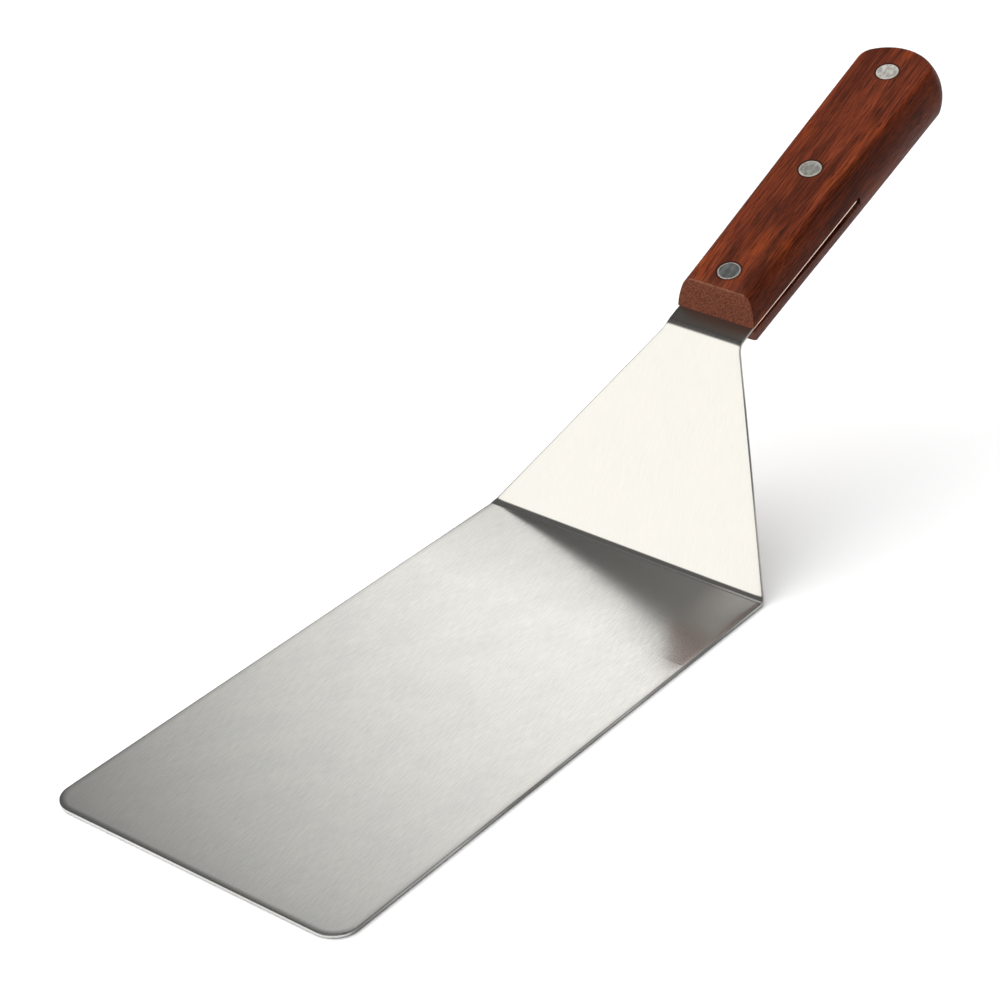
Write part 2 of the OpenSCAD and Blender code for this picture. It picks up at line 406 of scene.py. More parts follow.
def handle_edge():
    """Left half of the handle's outline at its widest: (x, y, outward normal, shoulder radius)."""
    lean = math.atan2(REAR_CORNER_Y, REAR_CORNER_X - REAR_ARC_X)
    side_steps, corner_steps, end_steps = 40, 14, 10
    points = []
    for i in range(side_steps):
        t = i / side_steps
        shoulder = FRONT_SHOULDER_R + (REAR_SHOULDER_R - FRONT_SHOULDER_R) * smoothstep(0.05, 0.75, t)
        half_w = FRONT_W / 2 + t * (REAR_W - FRONT_W) / 2
        points.append((t * REAR_CORNER_X, half_w, Vector((0, 1)), shoulder))
    for x, y in arc((REAR_CORNER_X, REAR_CORNER_Y), REAR_CORNER_R, math.pi / 2, lean, corner_steps):
        out = Vector((x - REAR_CORNER_X, y - REAR_CORNER_Y)).normalized()
        points.append((x, y, out, REAR_SHOULDER_R))
    for x, y in arc((REAR_ARC_X, 0), REAR_END_R, lean, 0, end_steps)[1:]:
        points.append((x, y, Vector((x - REAR_ARC_X, y)).normalized(), REAR_SHOULDER_R))
    return points


def handle_blank():
    """The handle before its kerf and holes, in the frame of the tang."""
    left = handle_edge()
    right = [(x, -y, Vector((out.x, -out.y)), shoulder) for x, y, out, shoulder in reversed(left[:-1])]
    outline = left + right
    curves = [side_curve(shoulder) for _, _, _, shoulder in outline]
    levels, count = len(curves[0]), len(outline)
    verts = []
    for k in range(levels):
        for (x, y, out, _), curve in zip(outline, curves):
            inset, level = curve[k]
            set_back = abs(level) * math.tan(FRONT_BEVEL) * max(0, 1 - x / REAR_CORNER_X)
            verts.append((
                HANDLE_START + x + set_back - out.x * inset,
                y - out.y * inset,
                level - SHEET_T / 2,
            ))
    faces = wall_faces(levels, count)
    top = (levels - 1) * count
    faces += [tuple(range(count)), tuple(range(top, top + count))]
    return new_piece("handle_block", verts, faces)


def kerf_cutter():
    """The saw kerf: its upper wall lies on the tang, its lower wall falls away towards its end."""
    front, end = HANDLE_START, TANG_END + KERF_RUN_OUT
    half_w = 0.7 * REAR_W
    end_r = TANG_END_R + KERF_RUN_OUT
    spread = math.asin(half_w / end_r)
    plan = [(front - HANDLE_START / 2, half_w), (front - HANDLE_START / 2, -half_w)]
    plan += arc((TANG_END - TANG_END_R, 0), end_r, -spread, spread, 24)
    fall = (KERF_END_GAP - KERF_FRONT_GAP) / (end - front)
    roof = [(x, y, 0) for x, y in plan]
    ground = [(x, y, -SHEET_T - KERF_FRONT_GAP - fall * (x - front)) for x, y in plan]
    count = len(plan)
    walls = [(j, (j + 1) % count, count + (j + 1) % count, count + j) for j in range(count)]
    ends = [tuple(range(count)), tuple(range(count, 2 * count))]
    return new_piece("kerf", roof + ground, walls + ends)


def rivet_hole(s):
    """A stepped hole through the wood, in the frame of the tang."""
    bore = (TUBE_D + HOLE_CLEARANCE) / 2
    seat = (HEAD_D + HOLE_CLEARANCE) / 2
    beyond = 2 * HEAD_T
    profile = [
        (seat, -WOOD_BELOW - beyond),
        (seat, HEAD_T - WOOD_BELOW),
        (bore, HEAD_T - WOOD_BELOW),
        (bore, WOOD_ABOVE - HEAD_T),
        (seat, WOOD_ABOVE - HEAD_T),
        (seat, WOOD_ABOVE + beyond),
    ]
    return lathe("hole", profile, Matrix.Translation((s, 0, 0)))


def make_handle():
    """One block of hardwood with its kerf and rivet holes, its cut edges eased."""
    handle = handle_blank()
    holes = [rivet_hole(RIVET_S + i * RIVET_PITCH) for i in range(RIVET_COUNT)]
    cut(handle, [kerf_cutter(), *holes])
    ease = handle.modifiers.new("ease", "BEVEL")
    ease.width = WOOD_EDGE_R
    ease.segments = 3
    ease.limit_method = "ANGLE"
    ease.angle_limit = math.radians(35)
    ease.use_clamp_overlap = True
    even = handle.modifiers.new("even", "WEIGHTED_NORMAL")
    even.keep_sharp = True
    even.mode = "FACE_AREA"
    handle.data.shade_smooth()
    settle(handle)
    mark_kerf(handle)
    handle.data.transform(TANG_FRAME)
    mark_edges(handle)
    return handle


def mark_kerf(handle):
    """Stores which points of the handle, still in the frame of the tang, lie inside the kerf, where the wood
    gets painted shade.
    """
    lowest = -SHEET_T - KERF_END_GAP - WOOD_EDGE_R
    inside = []
    for vert in handle.data.vertices:
        x, y, z = vert.co
        side_y = FRONT_W / 2 + FLARE * (x - HANDLE_START)
        in_kerf = lowest < z < 0.01 * MM and x < TANG_END + 2 * KERF_RUN_OUT
        inside.append(smoothstep(0.05 * MM, 0.5 * MM, side_y - abs(y)) if in_kerf else 0)
    mask = handle.data.attributes.new("kerf", "FLOAT", "POINT")
    mask.data.foreach_set("value", inside)


def mark_edges(piece):
    """Stores how strongly the surface turns at each point, for the worn edges that the wood lightens, partly
    as a painted highlight.
    """
    work = bmesh.new()
    work.from_mesh(piece.data)
    turns = []
    for vert in work.verts:
        angles = [edge.calc_face_angle(0) for edge in vert.link_edges]
        turns.append(smoothstep(math.radians(14), math.radians(26), max(angles, default=0)))
    work.free()
    worn_and_highlit = piece.data.attributes.new("worn_and_highlit", "FLOAT", "POINT")
    worn_and_highlit.data.foreach_set("value", turns)


# ---------------------------------------------------------------- node tools
def node(tree, kind, inputs=(), **settings):
    """Adds a node; inputs are values or sockets by name or number."""
    made = tree.nodes.new(kind)
    for name, value in settings.items():
        setattr(made, name, value)
    for key, value in dict(inputs).items():
        if isinstance(value, bpy.types.NodeSocket):
            tree.links.new(value, made.inputs[key])
        else:
            made.inputs[key].default_value = value
    return made


def sum_of(tree, operation, *values):
    """The result of a math node on numbers or sockets."""
    return node(tree, "ShaderNodeMath", enumerate(values), operation=operation).outputs[0]


def mix(tree, factor, a, b, blend="MIX"):
    """A blend of two colours, kept between 0 and 1."""
    made = node(tree, "ShaderNodeMix", {0: factor, 6: a, 7: b}, data_type="RGBA", blend_type=blend)
    return made.outputs[2]


def ramp(tree, value, low, high, to_low=0.0, to_high=1.0):
    """Slides evenly from one value to another as the input goes from low to high."""
    inputs = {0: value, 1: low, 2: high, 3: to_low, 4: to_high}
    return node(tree, "ShaderNodeMapRange", inputs, interpolation_type="SMOOTHSTEP").outputs[0]


def new_group(name, inputs, outputs, kind="ShaderNodeTree"):
    """A node group with named sockets. Returns its tree, its inputs by name and its output node."""
    tree = bpy.data.node_groups.new(name, kind)
    for socket_name, socket_kind, default in inputs:
        socket = tree.interface.new_socket(socket_name, in_out="INPUT", socket_type=socket_kind)
        if default is not None:
            socket.default_value = default
    for socket_name, socket_kind in outputs:
        tree.interface.new_socket(socket_name, in_out="OUTPUT", socket_type=socket_kind)
    return tree, tree.nodes.new("NodeGroupInput").outputs, tree.nodes.new("NodeGroupOutput").inputs


def use(tree, group, inputs):
    """Places a shader group and returns its outputs."""
    made = tree.nodes.new("ShaderNodeGroup")
    made.node_tree = group
    for key, value in inputs.items():
        if isinstance(value, bpy.types.NodeSocket):
            tree.links.new(value, made.inputs[key])
        else:
            made.inputs[key].default_value = value
    return made.outputs


FLOAT, VECTOR, COLOUR = "NodeSocketFloat", "NodeSocketVector", "NodeSocketColor"


def make_streaks():
    """Noise drawn out along X: brush lines, wood fibres, pores and grinding marks."""
    tree, given, result = new_group(
        "streaks",
        [("Vector", VECTOR, None), ("Length", FLOAT, 0.01), ("Width", FLOAT, 0.001),
         ("Detail", FLOAT, 3.0), ("Place", FLOAT, 0.0)],
        [("Value", FLOAT)],
    )
    size = node(tree, "ShaderNodeCombineXYZ", {0: given["Length"], 1: given["Width"], 2: given["Width"]})
    scaled = node(tree, "ShaderNodeVectorMath", {0: given["Vector"], 1: size.outputs[0]}, operation="DIVIDE")
    shift = node(tree, "ShaderNodeCombineXYZ", {0: given["Place"], 1: given["Place"], 2: given["Place"]})
    moved = node(tree, "ShaderNodeVectorMath", {0: scaled.outputs[0], 1: shift.outputs[0]}, operation="ADD")
    grain = {"Vector": moved.outputs[0], "Scale": 1.0, "Detail": given["Detail"]}
    noise = node(tree, "ShaderNodeTexNoise", grain)
    tree.links.new(noise.outputs[0], result["Value"])
    return tree


def make_edge_toning():
    """Lightens or darkens a colour along a masked edge, broken up by noise: worn edges and painted
    highlights on the wood, darker cut edges with a painted dark reflection on the steel, paler rims on the
    rivets.
    """
    tree, given, result = new_group(
        "edge_toning",
        [("Vector", VECTOR, None), ("Colour", COLOUR, None), ("Edge Colour", COLOUR, None),
         ("Mask", FLOAT, 0.0), ("Amount", FLOAT, 0.5), ("Size", FLOAT, 0.002)],
        [("Colour", COLOUR)],
    )
    scale = sum_of(tree, "DIVIDE", 1.0, given["Size"])
    noise = node(tree, "ShaderNodeTexNoise", {"Vector": given["Vector"], "Scale": scale, "Detail": 2.0})
    broken = ramp(tree, noise.outputs[0], 0.3, 0.65, 0.35, 1.0)
    strength = sum_of(tree, "MULTIPLY", sum_of(tree, "MULTIPLY", given["Mask"], broken), given["Amount"])
    tree.links.new(mix(tree, strength, given["Colour"], given["Edge Colour"]), result["Colour"])
    return tree


STREAKS = make_streaks()
EDGE_TONING = make_edge_toning()

# How far the brush lines, the wood's fibres and the rivets' grinding marks stray from lengthwise
GRAIN_LEAN = math.radians(5)
WOOD_LEAN = math.radians(1.5)
WOOD_SWAY = 4 * MM
GRINDING_LEAN = math.radians(4)

# ---------------------------------------------------------------- colours, as linear red, green, blue
STEEL_WARM = (0.786, 0.777, 0.762, 1)
STEEL_COOL = (0.757, 0.760, 0.752, 1)
STEEL_BROAD_LINE = (0.70, 0.70, 0.68, 1)
STEEL_FINE_LINE = (0.60, 0.59, 0.575, 1)
STEEL_NECK = (0.775, 0.750, 0.705, 1)
# Painted shade over the upper bend, next to the handle.
STEEL_PAINTED_SHADE = (0.25, 0.235, 0.215, 1)
# Painted reflection: the wood's pinkish tint on the tang's edge in the kerf.
STEEL_PAINTED_WOOD_REFLECTION = (0.80, 0.62, 0.52, 1)
# The cut edges' darker tone: partly their own duller finish, partly a painted dark reflection.
STEEL_CUT_EDGE_AND_SHADE = (0.10, 0.10, 0.095, 1)
WOOD_DARK_BAND = (0.074, 0.0125, 0.0045, 1)
WOOD_LIGHT_BAND = (0.170, 0.030, 0.0098, 1)
WOOD_GLOW = (0.245, 0.042, 0.0065, 1)
WOOD_DARK_FIBRE = (0.040, 0.0078, 0.003, 1)
WOOD_LIGHT_FIBRE = (0.26, 0.060, 0.022, 1)
WOOD_PORE = (0.018, 0.006, 0.004, 1)
WOOD_RING = (0.012, 0.006, 0.005, 1)
# Painted shade inside the kerf.
WOOD_KERF_PAINTED_SHADE = (0.010, 0.005, 0.004, 1)
# Worn edges, partly a painted highlight.
WOOD_WORN_AND_HIGHLIT = (0.45, 0.21, 0.13, 1)
END_GRAIN_DARK = (0.10, 0.030, 0.017, 1)
END_GRAIN_LIGHT = (0.24, 0.085, 0.050, 1)
# Rivet tones from the front rivet to the rear one.
RIVET_FRONT_TONE = (0.105, 0.117, 0.125, 1)
RIVET_REAR_TONE = (0.80, 0.78, 0.71, 1)
RIVET_LINE = (0.60, 0.61, 0.62, 1)
RIVET_STAIN = (0.62, 0.61, 0.60, 1)
RIVET_RIM = (0.80, 0.70, 0.62, 1)
FLOOR_LIT = (0.55, 0.55, 0.55, 1)
FLOOR_SEEN = (0.90, 0.90, 0.90, 1)
MIRROR_TINT = (1.0, 0.99, 0.955, 1)
WHITE = (1, 1, 1, 1)


def new_material(name, constants):
    """A material with one Principled shader. Returns it, its tree and the shader."""
    material = bpy.data.materials.new(name)
    material.use_nodes = True
    tree = material.node_tree
    shader = tree.nodes["Principled BSDF"]
    for socket, value in constants.items():
        shader.inputs[socket].default_value = value
    return material, tree, shader


def handle_coordinates(tree, turn=0.0):
    """Object coordinates in the frame of the tang, turned a little about its normal."""
    place = node(tree, "ShaderNodeTexCoord").outputs["Object"]
    inputs = {"Vector": place, "Location": (UPPER_X, 0, UPPER_Z), "Rotation": (0, -TANG_SLOPE, 0)}
    there = node(tree, "ShaderNodeMapping", inputs, vector_type="TEXTURE").outputs[0]
    if turn:
        there = node(tree, "ShaderNodeMapping", {"Vector": there, "Rotation": (0, 0, -turn)}).outputs[0]
    return there


def make_steel():
    """Stainless sheet brushed along its length; its cut edges darker, partly their own duller finish and
    partly a painted dark reflection; painted shade over the upper bend next to the handle; a pinkish painted
    reflection of the wood on the tang inside the handle.

    Its bump also holds the slight bow before the lower bend, which the mesh doesn't have.
    """
    constants = {"Metallic": 1.0, "Anisotropic": 0.3, "Anisotropic Rotation": 0.25}
    steel, tree, shader = new_material("brushed_steel", constants)
    sheet = node(tree, "ShaderNodeUVMap", uv_map="sheet").outputs[0]
    tangent = node(tree, "ShaderNodeTangent", direction_type="UV_MAP", uv_map="sheet").outputs[0]
    tree.links.new(tangent, shader.inputs["Tangent"])
    lean = {"Vector": sheet, "Rotation": (0, 0, -GRAIN_LEAN)}
    turned = node(tree, "ShaderNodeMapping", lean).outputs[0]
    along, sideways, _ = node(tree, "ShaderNodeSeparateXYZ", {0: sheet}).outputs

    def streak(place, length, width, shift):
        return use(tree, STREAKS, {"Vector": place, "Length": length * MM, "Width": width * MM,
                                   "Place": shift})["Value"]

    fine = streak(turned, 4.5, 0.42, 0.0)
    broad = streak(turned, 18, 1.6, 3.0)
    cloud = streak(sheet, 16, 11, 7.0)
    tint = mix(tree, ramp(tree, cloud, 0.35, 0.65), STEEL_WARM, STEEL_COOL)
    marked = mix(tree, ramp(tree, broad, 0.3, 0.7, 0.0, 0.15), tint, STEEL_BROAD_LINE)
    marked = mix(tree, ramp(tree, fine, 0.35, 0.68, 0.0, 0.22), marked, STEEL_FINE_LINE)
    neck = ramp(tree, along, run_start(1), run_start(2), 0.0, 0.65)
    marked = mix(tree, neck, marked, STEEL_NECK)
    # Painted shade: the steel over the upper bend, next to the handle, is darkened and made a little
    # rougher.
    painted_shade_start = run_start(3)
    stain_and_painted_shade = ramp(tree, along, painted_shade_start, painted_shade_start + SHEET_RUN[3][0])
    with_painted_light = mix(tree, sum_of(tree, "MULTIPLY", stain_and_painted_shade, 0.88), marked, STEEL_PAINTED_SHADE)
    # Painted reflection: the tang inside the handle, whose edge shows in the kerf, gets a pinkish tint that
    # stands for the wood mirrored in it.
    held_start = run_start(4) + HANDLE_START
    held = ramp(tree, along, held_start - UPPER_CUT, held_start)
    with_painted_light = mix(tree, held, with_painted_light, STEEL_PAINTED_WOOD_REFLECTION)
    # Painted dark reflection, partly the cut edges' own duller finish: the masked edges are darkened and
    # made rougher.
    cut_edge_and_shade = node(tree, "ShaderNodeAttribute", attribute_name="cut_edge_and_shade").outputs["Fac"]
    edge_toning = {"Vector": sheet, "Colour": with_painted_light, "Edge Colour": STEEL_CUT_EDGE_AND_SHADE, "Mask": cut_edge_and_shade,
               "Amount": 0.9, "Size": 60 * MM}
    tree.links.new(use(tree, EDGE_TONING, edge_toning)["Colour"], shader.inputs["Base Color"])
    line_rough = ramp(tree, fine, 0.25, 0.75, 0.16, 0.19)
    rough = sum_of(tree, "ADD", line_rough, ramp(tree, cloud, 0.3, 0.7, -0.005, 0.005))
    painted_shade_rough = sum_of(tree, "MULTIPLY_ADD", stain_and_painted_shade, 0.12, rough)
    tree.links.new(sum_of(tree, "MULTIPLY_ADD", cut_edge_and_shade, 0.2, painted_shade_rough), shader.inputs["Roughness"])
    bend_start = run_start(1)
    part = node(tree, "ShaderNodeMapRange", {0: along, 1: bend_start - RUN_IN, 2: bend_start}).outputs[0]
    rise = sum_of(tree, "MULTIPLY", sum_of(tree, "POWER", part, 1.7), RUN_IN_RISE)
    across = sum_of(tree, "ABSOLUTE", sideways)
    reach = {0: across, 1: BLADE_W / 2 - CROWN_REACH, 2: BLADE_W / 2}
    crown = node(tree, "ShaderNodeMapRange", reach).outputs[0]
    droop = sum_of(tree, "MULTIPLY", sum_of(tree, "POWER", crown, 2.0), part)
    warp = sum_of(tree, "MULTIPLY_ADD", droop, -CROWN_DROP, rise)
    run_in = node(tree, "ShaderNodeBump", {"Distance": 1.0, "Height": warp})
    height = sum_of(tree, "MULTIPLY_ADD", broad, 0.5, fine)
    scratches = {"Strength": 0.16, "Distance": 0.01 * MM, "Height": height, "Normal": run_in.outputs[0]}
    bump = node(tree, "ShaderNodeBump", scratches)
    tree.links.new(bump.outputs[0], shader.inputs["Normal"])
    return steel


def rivet_distance(tree, place):
    """Distance to the axis of the nearest rivet."""
    parts = node(tree, "ShaderNodeSeparateXYZ", {0: place})
    offset = sum_of(tree, "SUBTRACT", parts.outputs[0], RIVET_S)
    along = sum_of(tree, "WRAP", offset, RIVET_PITCH / 2, -RIVET_PITCH / 2)
    flat = node(tree, "ShaderNodeCombineXYZ", {0: along, 1: parts.outputs[1]})
    return node(tree, "ShaderNodeVectorMath", {0: flat.outputs[0]}, operation="LENGTH").outputs["Value"]


def make_wood():
    """Oiled reddish hardwood: bands, fibres and dark pores along the handle, speckled end grain, painted
    shade in the kerf, and its edges lightened, partly as a painted highlight.
    """
    wood, tree, shader = new_material("oiled_hardwood", {"Specular IOR Level": 0.05})
    straight = handle_coordinates(tree)
    leaning = handle_coordinates(tree, WOOD_LEAN)
    bend = node(tree, "ShaderNodeTexNoise", {"Vector": straight, "Scale": 14.0, "Detail": 1.0})
    centred = {0: bend.outputs["Color"], 1: (0.5, 0.5, 0.5)}
    sway = node(tree, "ShaderNodeVectorMath", centred, operation="SUBTRACT").outputs[0]
    scaled = {0: sway, 1: (0, WOOD_SWAY, WOOD_SWAY)}
    sway = node(tree, "ShaderNodeVectorMath", scaled, operation="MULTIPLY").outputs[0]
    grain = node(tree, "ShaderNodeVectorMath", {0: leaning, 1: sway}, operation="ADD").outputs[0]

    def streak(length, width, detail, place):
        return use(tree, STREAKS, {"Vector": grain, "Length": length * MM, "Width": width * MM,
                                   "Detail": detail, "Place": place})["Value"]

    bands = streak(70, 5.0, 3.0, 1.0)
    glow = streak(22, 7, 2.0, 9.0)
    fibres = streak(16, 0.36, 3.0, 5.0)
    pores = streak(7, 0.24, 1.0, 13.0)
    colour = mix(tree, ramp(tree, bands, 0.32, 0.68), WOOD_DARK_BAND, WOOD_LIGHT_BAND)
    colour = mix(tree, ramp(tree, glow, 0.50, 0.70, 0.0, 0.6), colour, WOOD_GLOW)
    colour = mix(tree, ramp(tree, fibres, 0.32, 0.55, 0.7, 0.0), colour, WOOD_DARK_FIBRE)
    colour = mix(tree, ramp(tree, fibres, 0.55, 0.70, 0.0, 0.4), colour, WOOD_LIGHT_FIBRE)
    colour = mix(tree, ramp(tree, pores, 0.575, 0.67, 0.0, 0.88), colour, WOOD_PORE)
    normal = node(tree, "ShaderNodeTexCoord").outputs["Normal"]
    axis = (math.cos(TANG_SLOPE), 0, math.sin(TANG_SLOPE))
    facing = node(tree, "ShaderNodeVectorMath", {0: normal, 1: axis}, operation="DOT_PRODUCT")
    end = ramp(tree, sum_of(tree, "ABSOLUTE", facing.outputs["Value"]), 0.72, 0.93)
    speckle = node(tree, "ShaderNodeTexNoise", {"Vector": straight, "Scale": 2200.0, "Detail": 2.0})
    end_colour = mix(tree, ramp(tree, speckle.outputs[0], 0.35, 0.65), END_GRAIN_DARK, END_GRAIN_LIGHT)
    colour = mix(tree, sum_of(tree, "MULTIPLY", end, 0.85), colour, end_colour)
    distance = rivet_distance(tree, straight)
    ring = ramp(tree, distance, HEAD_D / 2 + 0.25 * MM, HEAD_D / 2 + 0.9 * MM, 0.75, 0.0)
    colour = mix(tree, ring, colour, WOOD_RING)
    # Painted shade: the kerf's inner walls are darkened.
    kerf = node(tree, "ShaderNodeAttribute", attribute_name="kerf").outputs["Fac"]
    colour = mix(tree, kerf, colour, WOOD_KERF_PAINTED_SHADE)
    # Painted highlight, partly wear: edges where the surface turns are lightened.
    worn_and_highlit = node(tree, "ShaderNodeAttribute", attribute_name="worn_and_highlit").outputs["Fac"]
    edge_toning = {"Vector": straight, "Colour": colour, "Edge Colour": WOOD_WORN_AND_HIGHLIT, "Mask": worn_and_highlit,
               "Amount": 0.5, "Size": 1.5 * MM}
    tree.links.new(use(tree, EDGE_TONING, edge_toning)["Colour"], shader.inputs["Base Color"])
    rough = sum_of(tree, "MULTIPLY_ADD", end, 0.15, ramp(tree, fibres, 0.3, 0.7, 0.50, 0.38))
    tree.links.new(rough, shader.inputs["Roughness"])
    grooves = sum_of(tree, "SUBTRACT", fibres, ramp(tree, pores, 0.58, 0.70, 0.0, 1.2))
    bump = node(tree, "ShaderNodeBump", {"Strength": 0.35, "Distance": 0.08 * MM, "Height": grooves})
    tree.links.new(bump.outputs[0], shader.inputs["Normal"])
    return wood


def make_rivet_metal():
    """Aluminium ground flush with the wood, dull, with fine grinding lines and a paler rim, the row going
    from dark at the front to light at the rear.
    """
    metal, tree, shader = new_material("ground_rivet", {"Metallic": 0.45})
    place = handle_coordinates(tree, GRINDING_LEAN)
    lines = use(tree, STREAKS, {"Vector": place, "Length": 3.5 * MM, "Width": 0.25 * MM})["Value"]
    patches = {"Vector": place, "Length": 2.6 * MM, "Width": 1.6 * MM, "Place": 4.0}
    stain_and_painted_shade = use(tree, STREAKS, patches)["Value"]
    # The rivets go from dark at the front to light at the rear.
    tone = node(tree, "ShaderNodeAttribute", attribute_name="tone").outputs["Fac"]
    front_to_rear_tone = mix(tree, tone, RIVET_FRONT_TONE, RIVET_REAR_TONE)
    colour = mix(tree, ramp(tree, lines, 0.35, 0.65, 0.0, 0.8), front_to_rear_tone, RIVET_LINE, "MULTIPLY")
    colour = mix(tree, ramp(tree, stain_and_painted_shade, 0.40, 0.60), colour, RIVET_STAIN, "MULTIPLY")
    rim = node(tree, "ShaderNodeAttribute", attribute_name="rim").outputs["Fac"]
    edge_toning = {"Vector": place, "Colour": colour, "Edge Colour": RIVET_RIM, "Mask": rim,
               "Amount": 0.6, "Size": 0.5 * MM}
    tree.links.new(use(tree, EDGE_TONING, edge_toning)["Colour"], shader.inputs["Base Color"])
    tree.links.new(ramp(tree, lines, 0.3, 0.7, 0.36, 0.50), shader.inputs["Roughness"])
    bump = node(tree, "ShaderNodeBump", {"Strength": 0.25, "Distance": 0.03 * MM, "Height": lines})
    tree.links.new(bump.outputs[0], shader.inputs["Normal"])
    return metal


# ---------------------------------------------------------------- rivets
def rivet_tree(metal):
    """Geometry nodes that turn a rivet half from its sizes and set a row of them along the handle."""
    sizes = [
        ("Head Diameter", HEAD_D), ("Head Thickness", HEAD_T), ("Rim Radius", RIM_R),
        ("Shank Diameter", POST_D), ("Shank Length", POST_L), ("Bore Diameter", 0.0),
        ("Bore Depth", 0.0), ("Pitch", RIVET_PITCH),
    ]
    inputs = [("Geometry", "NodeSocketGeometry", None)] + [(name, FLOAT, value) for name, value in sizes]
    inputs.append(("Count", "NodeSocketInt", RIVET_COUNT))
    outputs = [("Geometry", "NodeSocketGeometry")]
    tree, given, result = new_group("rivet_row", inputs, outputs, "GeometryNodeTree")

    def calc(operation, *values):
        return sum_of(tree, operation, *values)

    head_r = calc("MULTIPLY", given["Head Diameter"], 0.5)
    shank_r = calc("MULTIPLY", given["Shank Diameter"], 0.5)
    bore_r = calc("MULTIPLY", given["Bore Diameter"], 0.5)
    rim = given["Rim Radius"]
    tip = calc("ADD", given["Head Thickness"], given["Shank Length"])
    floor = calc("SUBTRACT", tip, given["Bore Depth"])
    crown = calc("MULTIPLY", rim, -0.25)
    corner = []
    for degrees in (0, 22, 45, 68, 90):
        a = math.radians(degrees)
        outwards = calc("MULTIPLY_ADD", rim, math.sin(a) - 1, head_r)
        corner.append((outwards, calc("MULTIPLY", rim, 1 - math.cos(a))))
    profile = [
        (0.0, crown),
        (calc("MULTIPLY_ADD", rim, -2.6, head_r), calc("MULTIPLY", crown, 0.5)),
        (calc("MULTIPLY_ADD", rim, -1.8, head_r), calc("MULTIPLY", crown, 0.3)),
        *corner,
        (head_r, given["Head Thickness"]),
        (shank_r, given["Head Thickness"]),
        (shank_r, tip),
        (bore_r, tip),
        (bore_r, floor),
        (0.0, floor),
    ]
    # A flat grid is turned into the rivet: X goes round the axis, Y picks the row of the profile.
    # The rows of the rim lie between the two limits.
    around, rows = 72, len(profile)
    rim_from, rim_to = 1.5, 7.5
    squares = {"Size X": 1.0, "Size Y": 1.0, "Vertices X": around + 1, "Vertices Y": rows}
    grid = node(tree, "GeometryNodeMeshGrid", squares)
    spot = node(tree, "ShaderNodeSeparateXYZ", {0: node(tree, "GeometryNodeInputPosition").outputs[0]})
    angle = calc("MULTIPLY", spot.outputs[0], 2 * math.pi)
    row = calc("ROUND", calc("MULTIPLY_ADD", spot.outputs[1], rows - 1, (rows - 1) / 2))

    def pick(values):
        switch = tree.nodes.new("GeometryNodeIndexSwitch")
        switch.data_type = "FLOAT"
        while len(switch.index_switch_items) < len(values):
            switch.index_switch_items.new()
        tree.links.new(row, switch.inputs["Index"])
        for i, value in enumerate(values):
            socket = switch.inputs[i + 1]
            if isinstance(value, bpy.types.NodeSocket):
                tree.links.new(value, socket)
            else:
                socket.default_value = value
        return switch.outputs[0]

    radius = pick([r for r, _ in profile])
    depth = pick([z for _, z in profile])
    turned = node(tree, "ShaderNodeCombineXYZ", {
        0: calc("MULTIPLY", radius, calc("COSINE", angle)),
        1: calc("MULTIPLY", radius, calc("SINE", angle)),
        2: calc("MULTIPLY", depth, -1.0),
    })
    past = node(tree, "FunctionNodeCompare", {0: row, 1: rim_from}, operation="GREATER_THAN").outputs[0]
    before = node(tree, "FunctionNodeCompare", {0: row, 1: rim_to}, operation="LESS_THAN").outputs[0]
    mark = {"Geometry": grid.outputs[0], "Name": "rim", "Value": calc("MULTIPLY", past, before)}
    marked = node(tree, "GeometryNodeStoreNamedAttribute", mark, data_type="FLOAT", domain="POINT")
    bent = {"Geometry": marked.outputs[0], "Position": turned.outputs[0]}
    shaped = node(tree, "GeometryNodeSetPosition", bent)
    seam = {"Geometry": shaped.outputs[0], "Distance": 0.001 * MM}
    welded = node(tree, "GeometryNodeMergeByDistance", seam)
    line = node(tree, "GeometryNodeMeshLine", {
        "Count": given["Count"],
        "Offset": node(tree, "ShaderNodeCombineXYZ", {0: given["Pitch"]}).outputs[0],
    })
    placed = {"Points": line.outputs[0], "Instance": welded.outputs[0]}
    rivets = node(tree, "GeometryNodeInstanceOnPoints", placed)
    index = node(tree, "GeometryNodeInputIndex").outputs[0]
    last = calc("SUBTRACT", given["Count"], 1.0)
    tone = calc("MULTIPLY_ADD", calc("DIVIDE", index, last), 0.8, 0.1)
    mark = {"Geometry": rivets.outputs[0], "Name": "tone", "Value": tone}
    toned = node(tree, "GeometryNodeStoreNamedAttribute", mark, data_type="FLOAT", domain="INSTANCE")
    real = node(tree, "GeometryNodeRealizeInstances", {"Geometry": toned.outputs[0]})
    edge_angle = node(tree, "GeometryNodeInputMeshEdgeAngle").outputs[0]
    soft = node(tree, "FunctionNodeCompare", {0: edge_angle, 1: CRISP_ANGLE}, operation="LESS_THAN")
    shading = {"Geometry": real.outputs[0], "Shade Smooth": soft.outputs[0]}
    smooth = node(tree, "GeometryNodeSetShadeSmooth", shading, domain="EDGE")
    finished = node(tree, "GeometryNodeSetMaterial", {"Geometry": smooth.outputs[0], "Material": metal})
    tree.links.new(finished.outputs[0], result["Geometry"])
    return tree


def rivet_row(name, tree, place, sizes):
    """A row of rivet halves as one mesh."""
    piece = bpy.data.objects.new(name, bpy.data.meshes.new(name))
    bpy.context.scene.collection.objects.link(piece)
    row = piece.modifiers.new("rivets", "NODES")
    row.node_group = tree
    given = [item for item in tree.interface.items_tree if item.in_out == "INPUT"]
    sockets = {item.name: item.identifier for item in given}
    for size, value in sizes.items():
        row[sockets[size]] = value
    settle(piece)
    face_out(piece)
    piece.data.transform(place)
    return piece


